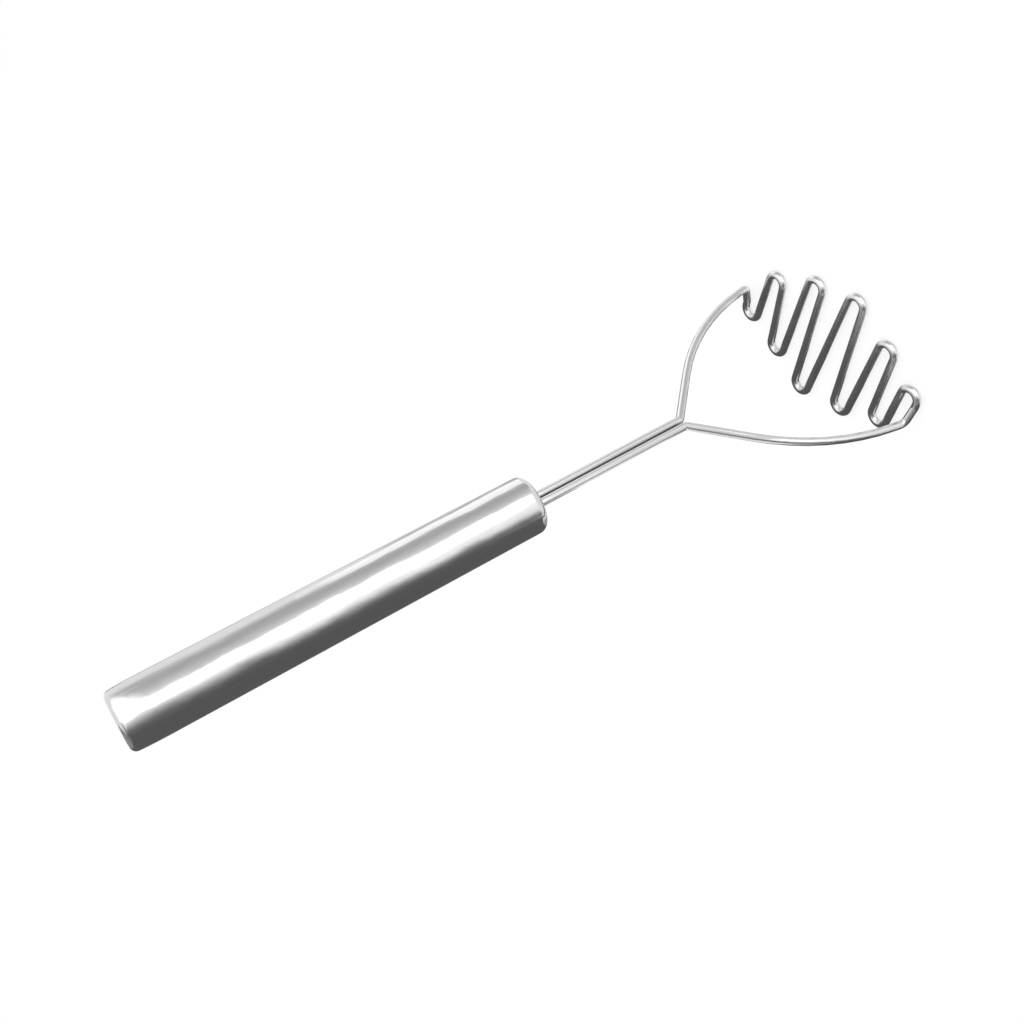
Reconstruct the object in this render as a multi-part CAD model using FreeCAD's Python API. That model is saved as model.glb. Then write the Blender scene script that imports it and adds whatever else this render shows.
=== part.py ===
import FreeCAD, Part
import math
import os

Vector = FreeCAD.Vector

# Potato masher: one bent wire with a serpentine mashing face, held in a closed tubular handle.
# The mashing face stands on z = 0 and the handle's axis is +Z. Sizes are in millimetres and degrees.

# Wire
wire_diameter = 3.2
shank_gap = 0.2           # between the two wires of the shank
shank_length = 68.8       # from the fork up to the handle
fork_height = 76.6        # from the mashing face up to the point where the wires part
fork_bend_radius = 3.0
arm_angle = 44.8          # between an arm and the handle's axis, at the fork
foot_angle = 9.6          # the same angle where the arm reaches the rim
foot_straight = 2.0       # straight run between an arm's long curve and its rim bend
rim_bend_radius = 3.0
rim_lift = 2.8            # rim bends above the plane of the mashing face
rim_drift = -1.9          # rim bends off the handle's axis, along Y
landing_run = 2.0         # level part of an end leg, next to its turn
landing_bend_radius = 5.0
tail_overrun = 5.0        # tails past the plug inside the handle

# Mashing face, measured to the middle of the wire
head_half_width = 45.8
head_half_depth = 30.8
turn_radius = 3.75
# The ten turns in the wire's order, by turns on the -Y and the +Y side
turn_place_shares = (-0.92, -0.719, -0.527, -0.296, -0.143, 0.143, 0.325, 0.568, 0.723, 0.915)
turn_reach_shares = (0.535, 0.406, 0.74, 0.785, 1.0, 0.985, 0.79, 0.698, 0.477, 0.363)

# Handle
handle_diameter = 22.0
handle_length = 156.9
tube_wall = 1.0
front_edge_radius = 3.2
rear_edge_radius = 2.2

# End caps, which are alike but for their edge radius and their land
cap_wall = 1.2
front_land = 1.0          # between the rounded edge and the seam with the tube
rear_land = 10.0
crown_radius = 190.0      # lengthwise curve of the lands, which buffing has drawn in towards the end
cap_skirt_length = 6.0    # stepped skirt inside the tube
cap_inner_radius = 1.5
cap_fit = 0.05            # radial, skirt in tube
slot_fit = 0.1            # round the wires where they pass through the cap and the plug

# Plug that steadies the tails inside the tube
plug_length = 14.0
plug_fit = 0.05           # radial, plug in tube

# Weld bead round the wires on the front cap
bead_width = 1.8
bead_height = 1.3
bead_fit = 0.05
bead_round_share = 0.75   # rounding of the bead's outer edge, as a share of its height

cut_overrun = 1.0
full_turn = 360.0

wire_radius = wire_diameter / 2
shank_offset = (wire_diameter + shank_gap) / 2
handle_radius = handle_diameter / 2
tube_bore_radius = handle_radius - tube_wall
handle_front = fork_height + shank_length
handle_rear = handle_front + handle_length
front_seam = handle_front + front_edge_radius + front_land
rear_seam = handle_rear - rear_edge_radius - rear_land
plug_front = front_seam + cap_skirt_length
tail_end = plug_front + plug_length + tail_overrun

origin = Vector(0, 0, 0)
up = Vector(0, 0, 1)
outward = Vector(1, 0, 0)


def left_of(heading):
    """The direction a quarter turn to the left of a heading in the mashing face."""
    return Vector(-heading.y, heading.x, 0)


def line(start, end):
    return Part.LineSegment(start, end).toShape()


def arc(start, middle, end):
    return Part.Arc(start, middle, end).toShape()


def rounded_route(points, radii):
    """Straight runs through the points, with each corner between them rounded to its radius."""
    edges = []
    start = points[0]
    for before, corner, after, radius in zip(points, points[1:], points[2:], radii):
        back = (before - corner).normalize()
        ahead = (after - corner).normalize()
        half_angle = back.getAngle(ahead) / 2
        trim = radius / math.tan(half_angle)
        inward = (back + ahead).normalize()
        middle = corner + inward * (radius / math.sin(half_angle) - radius)
        end = corner + ahead * trim
        edges.append(line(start, corner + back * trim))
        edges.append(arc(corner + back * trim, middle, end))
        start = end
    edges.append(line(start, points[-1]))
    return edges


def leg_between(first, second):
    """Both ends of the straight leg that leaves one turn and meets the next.

    A turn is a centre, a radius and a sense: 1 where the wire turns left round it, -1 where it turns right.
    """
    centre_1, radius_1, sense_1 = first
    centre_2, radius_2, sense_2 = second
    span = centre_2 - centre_1
    along = Vector(span).normalize()
    lean = math.asin((sense_1 * radius_1 - sense_2 * radius_2) / span.Length)
    side = left_of(along * math.cos(lean) + left_of(along) * math.sin(lean))
    return centre_1 - side * (sense_1 * radius_1), centre_2 - side * (sense_2 * radius_2)


def face_turns():
    """The ten U-turns of the mashing face, in the order in which the wire goes round them."""
    turns = []
    side = -1
    for place, reach in zip(turn_place_shares, turn_reach_shares):
        depth = reach * head_half_depth - turn_radius
        turns.append((Vector(place * head_half_width, side * depth, wire_radius), turn_radius, -side))
        side = -side
    return turns


def arm_points(side):
    """Corners of the wire on one side: tail in the handle, fork, elbow of the arm and foot at the rim."""
    arm = math.radians(arm_angle)
    foot = math.radians(foot_angle)
    tail = Vector(side * shank_offset, 0, tail_end)
    fork_corner = Vector(tail.x, 0, fork_height)
    rim_corner = Vector(side * head_half_width, rim_drift, wire_radius + rim_lift)
    across = Vector(rim_corner.x - tail.x, rim_drift, 0)
    down = fork_height - rim_corner.z
    run = (across.Length * math.cos(foot) - down * math.sin(foot)) / math.sin(arm - foot)
    elbow = fork_corner + (across.normalize() * math.sin(arm) - up * math.cos(arm)) * run
    return [tail, fork_corner, elbow, rim_corner]


def landing(turn_end, rim_end):
    """Where an end leg, on its way from the rim, comes down to the level of its turn."""
    return turn_end + (rim_end - turn_end).normalize() * landing_run


def make_masher_wire():
    """One wire: tail, shank, arm, eleven legs joined by ten turns, and back up the other arm."""
    first_arm = arm_points(-1)
    last_arm = arm_points(1)
    elbow, rim_corner = first_arm[-2:]
    bend = math.radians(arm_angle - foot_angle)
    arm_curve = ((elbow - rim_corner).Length - rim_bend_radius - foot_straight) / math.tan(bend / 2)
    radii = [fork_bend_radius, arm_curve, rim_bend_radius, landing_bend_radius]

    turns = face_turns()
    first_rim, last_rim = [(points[-1] - up * rim_lift, 0, 1) for points in (first_arm, last_arm)]
    stops = [first_rim] + turns + [last_rim]
    legs = [leg_between(first, second) for first, second in zip(stops, stops[1:])]
    first_leg = legs[0]
    last_leg = legs[-1]

    edges = rounded_route(first_arm + [landing(first_leg[1], first_leg[0]), first_leg[1]], radii)
    for (centre, radius, sense), leg_in, leg_out in zip(turns, legs, legs[1:]):
        tip_side = (leg_in[1] - leg_in[0]).normalize() - (leg_out[1] - leg_out[0]).normalize()
        edges.append(arc(leg_in[1], centre + tip_side.normalize() * radius, leg_out[0]))
        if leg_out is not last_leg:
            edges.append(line(*leg_out))
    edges += rounded_route([last_leg[0], landing(*last_leg)] + last_arm[::-1], radii[::-1])

    section = Part.Wire(Part.Circle(first_arm[0], up, wire_radius).toShape())
    return Part.Wire(edges).makePipeShell([section], True, False)


def wire_pair_prism(margin, bottom, height):
    """Upright prism round both wires of the shank, that much wider than the wires all round."""
    reach = wire_radius + margin
    near = Vector(-shank_offset, -reach, bottom)
    far = Vector(shank_offset, reach, bottom)
    outline = Part.Wire([
        line(near, Vector(far.x, near.y, bottom)),
        arc(Vector(far.x, near.y, bottom), Vector(shank_offset + reach, 0, bottom), far),
        line(far, Vector(near.x, far.y, bottom)),
        arc(Vector(near.x, far.y, bottom), Vector(-shank_offset - reach, 0, bottom), near),
    ])
    return Part.Face(outline).extrude(up * height)


def make_handle_tube():
    length = rear_seam - front_seam
    outside = Part.makeCylinder(handle_radius, length, Vector(0, 0, front_seam))
    bore = Part.makeCylinder(tube_bore_radius, length, Vector(0, 0, front_seam))
    return outside.cut(bore)


def make_cap(edge_radius, land):
    """Pressed cap with its outer face on z = 0 and its stepped skirt pointing up."""
    seam = edge_radius + land
    rim = seam + cap_skirt_length
    skirt_radius = tube_bore_radius - cap_fit
    bore_radius = skirt_radius - cap_wall

    crown_centre = Vector(handle_radius - crown_radius, 0, seam)
    edge_offset = math.sqrt((crown_radius - edge_radius) ** 2 - land ** 2)
    edge_centre = crown_centre + Vector(edge_offset, 0, -land)
    lean = (edge_centre - crown_centre).normalize()
    edge_top = edge_centre + lean * edge_radius
    edge_middle = edge_centre + (lean - up).normalize() * edge_radius
    land_middle = crown_centre + (lean + outward).normalize() * crown_radius

    inner_centre = Vector(bore_radius - cap_inner_radius, 0, cap_wall + cap_inner_radius)
    inner_middle = inner_centre + (outward - up).normalize() * cap_inner_radius
    profile = Part.Wire([
        line(origin, Vector(edge_centre.x, 0, 0)),
        arc(Vector(edge_centre.x, 0, 0), edge_middle, edge_top),
        arc(edge_top, land_middle, Vector(handle_radius, 0, seam)),
        line(Vector(handle_radius, 0, seam), Vector(skirt_radius, 0, seam)),
        line(Vector(skirt_radius, 0, seam), Vector(skirt_radius, 0, rim)),
        line(Vector(skirt_radius, 0, rim), Vector(bore_radius, 0, rim)),
        line(Vector(bore_radius, 0, rim), Vector(bore_radius, 0, inner_centre.z)),
        arc(Vector(bore_radius, 0, inner_centre.z), inner_middle, Vector(inner_centre.x, 0, cap_wall)),
        line(Vector(inner_centre.x, 0, cap_wall), Vector(0, 0, cap_wall)),
        line(Vector(0, 0, cap_wall), origin),
    ])
    return Part.Face(profile).revolve(origin, up, full_turn)


def make_front_cap():
    cap = make_cap(front_edge_radius, front_land)
    cap.translate(Vector(0, 0, handle_front))
    slot_height = cap_wall + 2 * cut_overrun
    return cap.cut(wire_pair_prism(slot_fit, handle_front - cut_overrun, slot_height))


def make_rear_cap():
    cap = make_cap(rear_edge_radius, rear_land)
    cap.rotate(origin, Vector(1, 0, 0), full_turn / 2)
    cap.translate(Vector(0, 0, handle_rear))
    return cap


def make_tail_plug():
    slug = Part.makeCylinder(tube_bore_radius - plug_fit, plug_length, Vector(0, 0, plug_front))
    slot_height = plug_length + 2 * cut_overrun
    return slug.cut(wire_pair_prism(slot_fit, plug_front - cut_overrun, slot_height))


def make_wire_weld():
    """Rounded bead on the front cap's face, with a bore that hugs the pair of wires."""
    bead_bottom = handle_front - bead_height
    bead = wire_pair_prism(bead_width, bead_bottom, bead_height)
    lower_edges = [edge for edge in bead.Edges if edge.BoundBox.ZMax < handle_front - bead_height / 2]
    bead = bead.makeFillet(bead_height * bead_round_share, lower_edges)
    bore_height = bead_height + 2 * cut_overrun
    return bead.cut(wire_pair_prism(bead_fit, bead_bottom - cut_overrun, bore_height))


pieces = {
    "masher_wire": make_masher_wire(),
    "handle_tube": make_handle_tube(),
    "front_cap": make_front_cap(),
    "rear_cap": make_rear_cap(),
    "tail_plug": make_tail_plug(),
    "wire_weld": make_wire_weld(),
}
os.makedirs("parts", exist_ok=True)
for name, shape in pieces.items():
    shape.exportStep("parts/" + name + ".step")
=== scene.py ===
import math

import bpy
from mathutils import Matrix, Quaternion, Vector


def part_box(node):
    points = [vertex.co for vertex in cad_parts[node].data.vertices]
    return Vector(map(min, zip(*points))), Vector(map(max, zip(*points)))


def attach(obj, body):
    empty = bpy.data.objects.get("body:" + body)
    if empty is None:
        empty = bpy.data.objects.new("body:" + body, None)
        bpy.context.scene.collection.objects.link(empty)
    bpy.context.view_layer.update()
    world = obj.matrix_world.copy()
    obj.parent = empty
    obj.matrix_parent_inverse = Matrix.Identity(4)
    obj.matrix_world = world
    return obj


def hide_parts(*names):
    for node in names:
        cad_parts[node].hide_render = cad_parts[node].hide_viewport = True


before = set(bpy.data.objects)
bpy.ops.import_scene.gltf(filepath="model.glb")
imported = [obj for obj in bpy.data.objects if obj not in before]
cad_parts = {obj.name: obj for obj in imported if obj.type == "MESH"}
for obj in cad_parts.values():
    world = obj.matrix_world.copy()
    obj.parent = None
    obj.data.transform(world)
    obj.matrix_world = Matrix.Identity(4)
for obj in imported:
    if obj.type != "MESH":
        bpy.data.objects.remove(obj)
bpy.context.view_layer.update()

# Looks of the potato masher: polished steel wire and handle on a white floor.
# Lengths are in metres and angles in radians, where no comment says otherwise.

scene = bpy.context.scene
scene.view_settings.view_transform = "Standard"
up = Vector((0, 0, 1))
white = (1, 1, 1, 1)
black = (0, 0, 0, 1)

# Camera, as it stood for the photograph
camera_target = Vector((-0.0005, 0.0002, 0.1543))
camera_distance = 0.3944
camera_azimuth = math.radians(58.24)     # from +X towards +Y
camera_elevation = math.radians(19.93)
camera_roll = math.radians(-117.96)
camera_clip_start = 0.01
focal_length = 38.94                     # millimetres, as is the sensor
sensor_width = 36.0

# Wire, as in the part's source
wire_radius = 0.0016
shank_offset = 0.0017
fork_height = 0.0766
fork_bend_radius = 0.003
arm_angle = math.radians(44.8)
foot_angle = math.radians(9.6)
foot_straight = 0.002
rim_bend_radius = 0.003
rim_lift = 0.0028
rim_drift = -0.0019
landing_run = 0.002
landing_bend_radius = 0.005
head_half_width = 0.0458
head_half_depth = 0.0308
turn_radius = 0.00375
turn_place_shares = (-0.92, -0.719, -0.527, -0.296, -0.143, 0.143, 0.325, 0.568, 0.723, 0.915)
turn_reach_shares = (0.535, 0.406, 0.74, 0.785, 1.0, 0.985, 0.79, 0.698, 0.477, 0.363)
wire_sides = 28
bend_step = math.radians(5.0)

# Places that the frame gives
handle_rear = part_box("rear_cap")[1].z
tail_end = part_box("masher_wire")[1].z

# Steel finish
noise_span = (0.3, 0.7)                  # most of a noise lies between these values
dark_grain_share = 0.93                  # of the tint, in the dark lines of the grain
polish_shares = (0.85, 1.2)              # of the roughness, in the finest and the coarsest patches
patch_spread = (90.0, 90.0, 90.0)
draw_length = 0.012                      # stretch at the rear end of the handle that looks drawn in
draw_depth = 0.0007
draw_power = 2.0
# Painted shade in the crevice between the two shank wires, darkening their colour where they face each
# other
crevice_shade_start = 0.001                    # distance from the plane between the shank wires
crevice_shade_full = 0.0002                    # the same, where the painted shade has its whole strength
crevice_shade_rise = 0.004                     # height above the fork over which the painted shade sets in
crevice_shade_tone = (0.44, 0.44, 0.44, 1.0)

# Studio
falling_light = 1.0                      # strength of the world for light that falls on things
shown_light = 1.0                        # and for what the camera sees of it
floor_half_width = 2.0
floor_drop = 0.0002
floor_roughness = 0.9
floor_glow = 1.0
shadow_share = 0.3                       # of the object's shadow, which the floor keeps
key_width = 0.285                        # along X
key_height = 0.61                        # along Z
key_power = 0.82                         # watts
key_place = (0.1475, 0.42, 0.275)
key_tilt = math.radians(-90)             # turns the lamp to face -Y

# Cards of light and shade that the steel reflects
wall_radius = 0.6                        # of the wall on which the ring cards stand
card_columns = 24
card_rows = 6
graded_tones = (0.14, 0.98)              # tones of cards that stand one above the other
grey_tones = (0.52, 0.92)
side_tones = (0.52, 1.08)
front_top = 0.13                         # heights at which cards on the wall meet
band_top = 0.33
band_bend = 0.42
band_tip = 0.62
grey_top = 0.332
grey_bend = 0.365
grey_tip = 0.413
handle_card_depth = -0.014               # Y of the cards close to the object
shank_card_depth = 0.03
head_card_depth = -0.034


def mesh_object(name, points, faces, face_uvs):
    """A smooth mesh object with one UV pair for each corner of each face."""
    mesh = bpy.data.meshes.new(name)
    mesh.from_pydata(points, [], faces)
    layer = mesh.uv_layers.new(name="run")
    flat = [value for corners in face_uvs for uv in corners for value in uv]
    layer.data.foreach_set("uv", flat)
    mesh.polygons.foreach_set("use_smooth", [True] * len(mesh.polygons))
    mesh.update()
    piece = bpy.data.objects.new(name, mesh)
    scene.collection.objects.link(piece)
    return piece


def arc_stops(centre, start, end, axis):
    """Points and headings along an arc from start to end, turning round the axis."""
    spoke = start - centre
    last = end - centre
    angle = math.atan2(axis.dot(spoke.cross(last)), spoke.dot(last)) % math.tau
    count = max(2, math.ceil(angle / bend_step))
    stops = []
    for index in range(count + 1):
        radial = Quaternion(axis, angle * index / count) @ spoke
        stops.append((centre + radial, axis.cross(radial).normalized()))
    return stops


def corner_stops(before, corner, after, radius):
    """The arc that rounds a corner between two straight runs."""
    back = (before - corner).normalized()
    ahead = (after - corner).normalized()
    half_angle = back.angle(ahead) / 2
    trim = radius / math.tan(half_angle)
    centre = corner + (back + ahead).normalized() * (radius / math.sin(half_angle))
    axis = ahead.cross(back).normalized()
    return arc_stops(centre, corner + back * trim, corner + ahead * trim, axis)


def left_of(heading):
    """The level direction to the left of a heading."""
    return Vector((-heading.y, heading.x, 0))


def face_turns():
    """Centre, radius and sense of the ten U-turns, where a sense of 1 turns left."""
    turns = []
    side = -1
    for place, reach in zip(turn_place_shares, turn_reach_shares):
        depth = reach * head_half_depth - turn_radius
        turns.append((Vector((place * head_half_width, side * depth, wire_radius)), turn_radius, -side))
        side = -side
    return turns


def leg_between(first, second):
    """Both ends of the straight leg that leaves one turn and meets the next."""
    centre_1, radius_1, sense_1 = first
    centre_2, radius_2, sense_2 = second
    span = centre_2 - centre_1
    along = span.normalized()
    lean = math.asin((sense_1 * radius_1 - sense_2 * radius_2) / span.length)
    side = left_of(along * math.cos(lean) + left_of(along) * math.sin(lean))
    return centre_1 - side * (sense_1 * radius_1), centre_2 - side * (sense_2 * radius_2)


def arm_points(side):
    """Corners of the wire on one side: tail in the handle, fork, elbow of the arm, foot at the rim."""
    tail = Vector((side * shank_offset, 0, tail_end))
    fork = Vector((tail.x, 0, fork_height))
    rim = Vector((side * head_half_width, rim_drift, wire_radius + rim_lift))
    across = Vector((rim.x - tail.x, rim_drift, 0))
    down = fork_height - rim.z
    overhang = across.length * math.cos(foot_angle) - down * math.sin(foot_angle)
    run = overhang / math.sin(arm_angle - foot_angle)
    elbow = fork + (across.normalized() * math.sin(arm_angle) - up * math.cos(arm_angle)) * run
    return [tail, fork, elbow, rim]


def landing(turn_end, rim_end):
    """Where an end leg, on its way from the rim, comes down to the level of its turn."""
    return turn_end + (rim_end - turn_end).normalized() * landing_run


def wire_stops():
    """Points and headings of the whole wire, from one tail to the other.

    A short band at each end keeps the rounding of the end face's shading off the long shank.
    """
    first_arm, last_arm = arm_points(-1), arm_points(1)
    foot_run = (first_arm[-2] - first_arm[-1]).length - rim_bend_radius - foot_straight
    arm_radius = foot_run / math.tan((arm_angle - foot_angle) / 2)
    radii = (fork_bend_radius, arm_radius, rim_bend_radius, landing_bend_radius)

    turns = face_turns()
    first_rim, last_rim = [(points[-1] - up * rim_lift, 0, 1) for points in (first_arm, last_arm)]
    stations = [first_rim] + turns + [last_rim]
    legs = [leg_between(first, second) for first, second in zip(stations, stations[1:])]
    first_leg, last_leg = legs[0], legs[-1]

    way_down = first_arm + [landing(first_leg[1], first_leg[0]), first_leg[1]]
    way_up = [last_leg[0], landing(*last_leg)] + last_arm[::-1]
    end_band = up * wire_radius
    stops = [(way_down[0], -up), (way_down[0] - end_band, -up)]
    for before, corner, after, radius in zip(way_down, way_down[1:], way_down[2:], radii):
        stops += corner_stops(before, corner, after, radius)
    for (centre, _, sense), leg_in, leg_out in zip(turns, legs, legs[1:]):
        stops += arc_stops(centre, leg_in[1], leg_out[0], up * sense)
    for before, corner, after, radius in zip(way_up, way_up[1:], way_up[2:], radii[::-1]):
        stops += corner_stops(before, corner, after, radius)
    return stops + [(way_up[-1] - end_band, up), (way_up[-1], up)]


def make_wire():
    """Round wire swept along its stops. UVs are metres along the wire and round it."""
    points, rings, lengths = [], [], []
    across = Vector((0, 1, 0))
    previous = None
    length = 0
    for point, heading in wire_stops():
        if previous:
            across = previous[1].rotation_difference(heading) @ across
            length += (point - previous[0]).length
        previous = (point, heading)
        beside = heading.cross(across)
        ring = []
        for side in range(wire_sides):
            turn = math.tau * side / wire_sides
            ring.append(len(points))
            points.append(point + (across * math.cos(turn) + beside * math.sin(turn)) * wire_radius)
        rings.append(ring)
        lengths.append(length)

    faces, uvs = [], []
    girth = math.tau * wire_radius
    for ring, following, start, end in zip(rings, rings[1:], lengths, lengths[1:]):
        for side in range(wire_sides):
            other = (side + 1) % wire_sides
            faces.append((ring[side], ring[other], following[other], following[side]))
            low, high = girth * side / wire_sides, girth * (side + 1) / wire_sides
            uvs.append(((start, low), (start, high), (end, high), (end, low)))
    for ring, end in ((rings[0][::-1], 0), (rings[-1], length)):
        faces.append(tuple(ring))
        uvs.append([(end, 0)] * wire_sides)
    return mesh_object("bent_wire", points, faces, uvs)


def new_material(name):
    """A material with its nodes, and the shader that they feed."""
    material = bpy.data.materials.new(name)
    material.use_nodes = True
    return material, material.node_tree, material.node_tree.nodes["Principled BSDF"]


def wear(piece, material):
    """Gives every slot of a node or piece the material."""
    if not piece.material_slots:
        piece.data.materials.append(material)
    for slot in piece.material_slots:
        slot.material = material


def steel(name, tint, roughness, space, wave_spread, wave_depth, grain_spread, grain_depth):
    """Polished steel with slow waves in its surface, fine grain along it and patches of uneven polish."""
    material, tree, shader = new_material(name)
    nodes, links = tree.nodes, tree.links
    shader.inputs["Metallic"].default_value = 1.0
    place = nodes.new("ShaderNodeTexCoord").outputs[space]

    def noise(spread, detail, fade):
        mapping = nodes.new("ShaderNodeMapping")
        mapping.inputs["Scale"].default_value = spread
        links.new(place, mapping.inputs["Vector"])
        pattern = nodes.new("ShaderNodeTexNoise")
        pattern.inputs["Scale"].default_value = 1.0
        pattern.inputs["Detail"].default_value = detail
        pattern.inputs["Roughness"].default_value = fade
        links.new(mapping.outputs["Vector"], pattern.inputs["Vector"])
        return pattern.outputs["Fac"]

    def spread_between(value, low, high):
        span = nodes.new("ShaderNodeMapRange")
        span.inputs["From Min"].default_value = noise_span[0]
        span.inputs["From Max"].default_value = noise_span[1]
        span.inputs["To Min"].default_value = low
        span.inputs["To Max"].default_value = high
        links.new(value, span.inputs["Value"])
        return span.outputs["Result"]

    def bump(height, depth):
        relief = nodes.new("ShaderNodeBump")
        relief.inputs["Distance"].default_value = depth
        links.new(height, relief.inputs["Height"])
        return relief

    grain = noise(grain_spread, detail=3.0, fade=0.5)
    patches = noise(patch_spread, detail=4.0, fade=0.5)

    shade = nodes.new("ShaderNodeMix")
    shade.data_type = "RGBA"
    shade.inputs["A"].default_value = (*[channel * dark_grain_share for channel in tint], 1.0)
    shade.inputs["B"].default_value = (*tint, 1.0)
    links.new(spread_between(grain, 0.0, 1.0), shade.inputs["Factor"])
    links.new(shade.outputs["Result"], shader.inputs["Base Color"])
    finest, coarsest = [roughness * share for share in polish_shares]
    links.new(spread_between(patches, finest, coarsest), shader.inputs["Roughness"])

    waves = bump(noise(wave_spread, detail=3.0, fade=0.33), wave_depth)
    waves.name = "waves"
    lines = bump(grain, grain_depth)
    links.new(waves.outputs["Normal"], lines.inputs["Normal"])
    links.new(lines.outputs["Normal"], shader.inputs["Normal"])
    return material


def object_place(material):
    """The node that gives the X, Y and Z of a point on the object."""
    nodes, links = material.node_tree.nodes, material.node_tree.links
    place = nodes.new("ShaderNodeSeparateXYZ")
    links.new(nodes.new("ShaderNodeTexCoord").outputs["Object"], place.inputs["Vector"])
    return place


def draw_in_rear_end(material):
    """Turns the surface a little towards the rear end over its last stretch, as buffing does."""
    nodes, links = material.node_tree.nodes, material.node_tree.links
    share = nodes.new("ShaderNodeMapRange")
    share.inputs["From Min"].default_value = handle_rear - draw_length
    share.inputs["From Max"].default_value = handle_rear
    links.new(object_place(material).outputs["Z"], share.inputs["Value"])
    drop = nodes.new("ShaderNodeMath")
    drop.operation = "POWER"
    drop.inputs[1].default_value = draw_power
    links.new(share.outputs["Result"], drop.inputs[0])
    bend = nodes.new("ShaderNodeBump")
    bend.invert = True
    bend.inputs["Distance"].default_value = draw_depth
    links.new(drop.outputs["Value"], bend.inputs["Height"])
    first_bump = nodes["waves"]
    links.new(bend.outputs["Normal"], first_bump.inputs["Normal"])


def shade_between_wires(material):
    """Paints shade into the colour of the sides of the shank wires that face each other, in the crevice
    between them.
    """
    nodes, links = material.node_tree.nodes, material.node_tree.links
    shader = nodes["Principled BSDF"]
    polished = shader.inputs["Base Color"].links[0].from_socket
    place = object_place(material)
    offset = nodes.new("ShaderNodeMath")
    offset.operation = "ABSOLUTE"
    links.new(place.outputs["X"], offset.inputs[0])

    def ease(value, start, end):
        span = nodes.new("ShaderNodeMapRange")
        span.interpolation_type = "SMOOTHSTEP"
        span.inputs["From Min"].default_value = start
        span.inputs["From Max"].default_value = end
        links.new(value, span.inputs["Value"])
        return span.outputs["Result"]

    share = nodes.new("ShaderNodeMath")
    share.operation = "MULTIPLY"
    links.new(ease(offset.outputs["Value"], crevice_shade_start, crevice_shade_full), share.inputs[0])
    links.new(ease(place.outputs["Z"], fork_height, fork_height + crevice_shade_rise), share.inputs[1])
    # the painted shade, mixed over the polished colour
    shade = nodes.new("ShaderNodeMix")
    shade.data_type = "RGBA"
    shade.inputs["B"].default_value = crevice_shade_tone
    links.new(share.outputs["Value"], shade.inputs["Factor"])
    links.new(polished, shade.inputs["A"])
    links.new(shade.outputs["Result"], shader.inputs["Base Color"])


# Steels of the pieces
handle_steel = steel("handle_steel", tint=(0.72, 0.72, 0.725), roughness=0.17, space="Object",
                     wave_spread=(70.0, 70.0, 45.0), wave_depth=0.0008,
                     grain_spread=(3500.0, 3500.0, 60.0), grain_depth=0.000002)
wire_steel = steel("wire_steel", tint=(0.77, 0.77, 0.775), roughness=0.24, space="UV",
                   wave_spread=(60.0, 300.0, 1.0), wave_depth=0.00003,
                   grain_spread=(120.0, 9000.0, 1.0), grain_depth=0.000001)
weld_steel = steel("weld_steel", tint=(0.58, 0.57, 0.55), roughness=0.38, space="Object",
                   wave_spread=(900.0, 900.0, 900.0), wave_depth=0.0001,
                   grain_spread=(5000.0, 5000.0, 5000.0), grain_depth=0.00001)
plain_steel = steel("plain_steel", tint=(0.55, 0.55, 0.55), roughness=0.40, space="Object",
                    wave_spread=(300.0, 300.0, 300.0), wave_depth=0.00005,
                    grain_spread=(4000.0, 4000.0, 4000.0), grain_depth=0.000005)
draw_in_rear_end(handle_steel)
# painted shade in the crevice between the shank wires
shade_between_wires(wire_steel)

for node in ("handle_tube", "front_cap", "rear_cap"):
    wear(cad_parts[node], handle_steel)
wear(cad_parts["wire_weld"], weld_steel)
wear(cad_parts["tail_plug"], plain_steel)

wire = make_wire()
wear(wire, wire_steel)
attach(wire, "root")
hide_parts("masher_wire")


def seen_directly(tree):
    """1 for what is seen, also in metal or through glass, and 0 for light that only falls on things."""
    path = tree.nodes.new("ShaderNodeLightPath")
    total = path.outputs["Is Camera Ray"]
    for name in ("Is Glossy Ray", "Is Transmission Ray"):
        addition = tree.nodes.new("ShaderNodeMath")
        addition.operation = "MAXIMUM"
        tree.links.new(total, addition.inputs[0])
        tree.links.new(path.outputs[name], addition.inputs[1])
        total = addition.outputs["Value"]
    return total


def light_world():
    """White all round, with a strength for light that falls on things and one for what is seen."""
    world = bpy.data.worlds.new("studio")
    world.use_nodes = True
    scene.world = world
    tree = world.node_tree
    tree.nodes.clear()
    choice = tree.nodes.new("ShaderNodeMixShader")
    tree.links.new(seen_directly(tree), choice.inputs["Fac"])
    for socket, strength in ((1, falling_light), (2, shown_light)):
        background = tree.nodes.new("ShaderNodeBackground")
        background.inputs["Strength"].default_value = strength
        background.inputs["Color"].default_value = white
        tree.links.new(background.outputs["Background"], choice.inputs[socket])
    output = tree.nodes.new("ShaderNodeOutputWorld")
    tree.links.new(choice.outputs["Shader"], output.inputs["Surface"])


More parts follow.
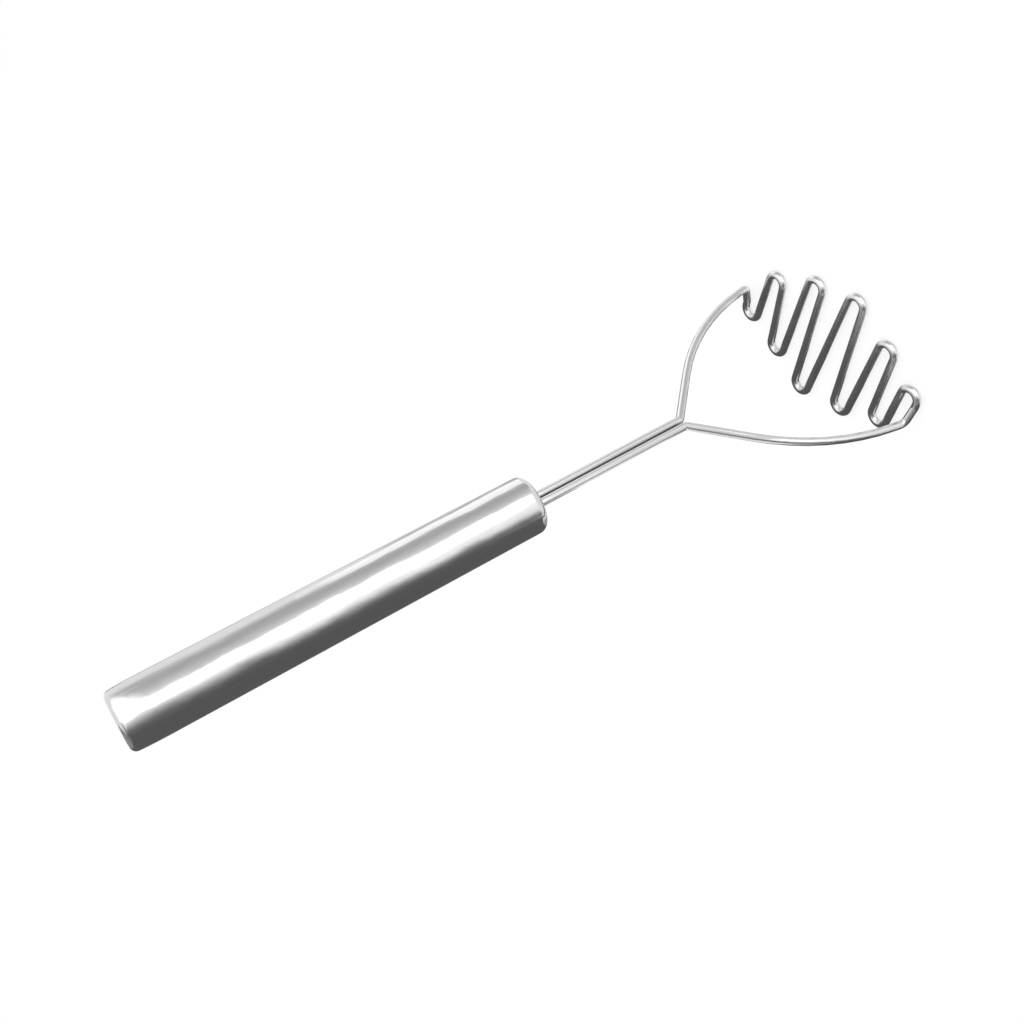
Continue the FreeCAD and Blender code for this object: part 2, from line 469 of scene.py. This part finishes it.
def make_floor():
    """A white floor just below the mashing face, glowing but for the share that keeps the shadow."""
    reach, level = floor_half_width, -floor_drop
    corners = [(-reach, -reach, level), (reach, -reach, level),
               (reach, reach, level), (-reach, reach, level)]
    mesh = bpy.data.meshes.new("floor")
    mesh.from_pydata(corners, [], [(0, 1, 2, 3)])
    floor = bpy.data.objects.new("floor", mesh)
    scene.collection.objects.link(floor)
    floor.visible_glossy = False
    floor.visible_shadow = False

    material, tree, shader = new_material("floor")
    shader.inputs["Base Color"].default_value = white
    shader.inputs["Roughness"].default_value = floor_roughness
    shader.inputs["Specular IOR Level"].default_value = 0.0
    glow = tree.nodes.new("ShaderNodeEmission")
    glow.inputs["Strength"].default_value = floor_glow
    share = tree.nodes.new("ShaderNodeMath")
    share.operation = "MULTIPLY"
    share.inputs[1].default_value = 1.0 - shadow_share
    tree.links.new(seen_directly(tree), share.inputs[0])
    choice = tree.nodes.new("ShaderNodeMixShader")
    tree.links.new(share.outputs["Value"], choice.inputs["Fac"])
    tree.links.new(shader.outputs["BSDF"], choice.inputs[1])
    tree.links.new(glow.outputs["Emission"], choice.inputs[2])
    tree.links.new(choice.outputs["Shader"], tree.nodes["Material Output"].inputs["Surface"])
    wear(floor, material)


def reflected_card(name, points, faces, face_uvs, tones):
    """A card with a light of its own that shows only in the object's reflections.

    The light goes from the first tone to the second along the card's U, slowly at first.
    """
    panel = mesh_object(name, points, faces, face_uvs)
    panel.visible_camera = False
    panel.visible_diffuse = False
    panel.visible_shadow = False
    panel.visible_transmission = False

    material, tree, shader = new_material(name)
    shader.inputs["Base Color"].default_value = black
    shader.inputs["Specular IOR Level"].default_value = 0.0
    shader.inputs["Emission Color"].default_value = white
    place = tree.nodes.new("ShaderNodeTexCoord")
    ramp = tree.nodes.new("ShaderNodeTexGradient")
    ramp.gradient_type = "QUADRATIC"
    level = tree.nodes.new("ShaderNodeMapRange")
    level.inputs["To Min"].default_value = tones[0]
    level.inputs["To Max"].default_value = tones[1]
    tree.links.new(place.outputs["UV"], ramp.inputs["Vector"])
    tree.links.new(ramp.outputs["Fac"], level.inputs["Value"])
    tree.links.new(level.outputs["Result"], shader.inputs["Emission Strength"])
    wear(panel, material)


def near_card(name, depth, outline, tones, upward=False):
    """A card close to the object, square to Y, with its outline given in X and Z.

    Its tones go along X, or along Z where upward is set.
    """
    places = [z if upward else x for x, z in outline]
    first, last = min(places), max(places)
    uvs = [((place - first) / (last - first), 0) for place in places]
    points = [(x, depth, z) for x, z in outline]
    reflected_card(name, points, [tuple(range(len(points)))], [uvs], tones)


def ring_card(name, azimuths, heights, tones, top=None):
    """A card on a wall round the handle's axis, between two azimuths and two heights.

    Azimuths are in degrees from +X towards +Y. Where the top has azimuths of its own, the others are
    those of the foot. The tones go from the first azimuth to the second.
    """
    low, high = heights
    points, faces, uvs = [], [], []
    for row in range(card_rows + 1):
        climb = row / card_rows
        height = low + (high - low) * climb
        edges = zip(azimuths, top or azimuths)
        first, last = [below + (above - below) * climb for below, above in edges]
        for column in range(card_columns + 1):
            share = column / card_columns
            azimuth = math.radians(first + (last - first) * share)
            points.append((wall_radius * math.cos(azimuth), wall_radius * math.sin(azimuth), height))
    width = card_columns + 1
    for row in range(card_rows):
        for column in range(card_columns):
            corner = row * width + column
            faces.append((corner, corner + 1, corner + 1 + width, corner + width))
            near, far = column / card_columns, (column + 1) / card_columns
            uvs.append(((near, row), (far, row), (far, row + 1), (near, row + 1)))
    reflected_card(name, points, faces, uvs, tones)


def light_key():
    """The lamp that makes the bright band along the handle."""
    lamp = bpy.data.lights.new("key", "AREA")
    lamp.shape = "RECTANGLE"
    lamp.size = key_width
    lamp.size_y = key_height
    lamp.energy = key_power
    holder = bpy.data.objects.new("key", lamp)
    holder.location = key_place
    holder.rotation_euler = (key_tilt, 0, 0)
    holder.visible_camera = False
    scene.collection.objects.link(holder)


light_world()
make_floor()

# Wall cards for the straight side of the handle and the shank, from the dark side to the far edge
ring_card("side_flag", azimuths=(-12, 4), heights=(-0.10, 1.0), tones=(0.12, 0.145))
ring_card("graded_card", azimuths=(4, 10), top=(4, 50), heights=(-0.35, band_top), tones=graded_tones)
ring_card("fill_card", azimuths=(24, 57), top=(50, 57), heights=(-0.13, band_top), tones=(1.15, 1.5))
ring_card("key_foot", azimuths=(57, 89), heights=(-0.13, -0.035), tones=(1.4, 1.4))
ring_card("grey_card", azimuths=(136, 90), heights=(-0.50, grey_top), tones=grey_tones)
ring_card("side_card", azimuths=(136, 170), heights=(front_top, grey_top), tones=side_tones)
ring_card("side_foot", azimuths=(136, 147), top=(136, 152), heights=(-0.50, front_top), tones=(0.52, 0.85))
ring_card("front_card", azimuths=(147, 186), top=(152, 182), heights=(-0.15, front_top), tones=(1.3, 1.5))
ring_card("front_edge", azimuths=(-172, -155), top=(-166, -155), heights=(-0.15, 0.06), tones=(0.60, 0.45))
ring_card("edge_flag", azimuths=(-155, -140), heights=(-0.2, 0.45), tones=(0.45, 0.5))

# Wall cards for the flared reflection at the rear end of the handle
ring_card("graded_end", azimuths=(4, 50), heights=(band_top, band_bend), tones=graded_tones)
ring_card("graded_flare", azimuths=(4, 50), top=(4, 22), heights=(band_bend, band_tip), tones=graded_tones)
ring_card("fill_flare", azimuths=(50, 57), top=(22, 57), heights=(band_bend, band_tip), tones=(1.6, 1.7))
ring_card("grey_end", azimuths=(136, 90), top=(138, 111), heights=(grey_top, grey_bend), tones=grey_tones)
ring_card("grey_tip", azimuths=(138, 111), top=(149, 145), heights=(grey_bend, grey_tip), tones=grey_tones)
ring_card("flare_wedge", azimuths=(90, 89), top=(111, 89), heights=(grey_top, grey_bend), tones=(1.7, 1.7))
ring_card("flare_side", azimuths=(111, 89), top=(145, 89), heights=(grey_bend, grey_tip), tones=(1.8, 1.8))
ring_card("flare_card", azimuths=(148, 57), top=(140, 57), heights=(grey_tip, 1.2), tones=(1.5, 2.0))
ring_card("side_end", azimuths=(136, 170), top=(149, 170), heights=(grey_top, grey_tip), tones=side_tones)
ring_card("high_card", azimuths=(4, 55), heights=(0.625, 1.1), tones=(0.24, 0.72))
ring_card("end_card", azimuths=(-116, -12), heights=(0.46, 2.6), tones=(0.34, 0.20))

# Wall card low down, for surfaces that face a little downwards
ring_card("low_card", azimuths=(60, 125), heights=(-1.2, -0.55), tones=(0.46, 0.52))

# Cards close behind the handle, for its dark side and its front shoulder
near_card("handle_flag", handle_card_depth, tones=(0.12, 0.12),
          outline=[(-0.004, 0.138), (0.03, 0.138), (0.06, 0.12), (0.3, 0.04), (0.3, 0.40), (0.012, 0.309),
                   (-0.004, 0.306)])
near_card("handle_fade", handle_card_depth, tones=(0.8, 0.12),
          outline=[(-0.05, 0.138), (-0.004, 0.138), (-0.004, 0.306), (-0.05, 0.297)])
near_card("shoulder_flag", handle_card_depth, tones=(0.42, 0.42),
          outline=[(-0.004, 0.122), (0.04, 0.122), (0.03, 0.138), (-0.004, 0.138)])

# Cards close before the shank and the root of the second arm
near_card("root_flag", shank_card_depth, tones=(0.72, 0.72),
          outline=[(0.022, 0.05), (0.036, 0.045), (0.047, 0.07), (0.04, 0.092), (0.022, 0.098)])
near_card("shank_flag", shank_card_depth, tones=(0.94, 1.0), upward=True,
          outline=[(-0.012, 0.068), (0.022, 0.06), (0.022, 0.131), (-0.012, 0.133)])

# Cards close behind the head, for its legs and the second arm
near_card("head_flag", head_card_depth, tones=(0.10, 0.10),
          outline=[(-0.09, -0.05), (-0.032, -0.05), (-0.026, -0.027), (0.045, -0.0285), (0.055, -0.045),
                   (0.12, -0.045), (0.5, -0.08), (0.5, 0.05), (0.058, 0.046), (0.045, 0.056), (0.02, 0.058),
                   (0.012, 0.068), (-0.09, 0.068)])
near_card("arm_flag", head_card_depth, tones=(0.42, 0.42),
          outline=[(0.045, 0.056), (0.058, 0.046), (0.5, 0.05), (0.5, 0.22), (0.12, 0.075)])

light_key()


def place_camera():
    """The camera at its distance from the target, turned and rolled as for the photograph."""
    camera = bpy.data.cameras.new("camera")
    camera.lens = focal_length
    camera.sensor_width = sensor_width
    camera.clip_start = camera_clip_start
    holder = bpy.data.objects.new("camera", camera)
    level = math.cos(camera_elevation)
    back = Vector((level * math.cos(camera_azimuth), level * math.sin(camera_azimuth),
                   math.sin(camera_elevation)))
    holder.location = camera_target + back * camera_distance
    holder.rotation_mode = "QUATERNION"
    holder.rotation_quaternion = back.to_track_quat("Z", "Y") @ Quaternion(up, camera_roll)
    scene.collection.objects.link(holder)
    scene.camera = holder


place_camera()
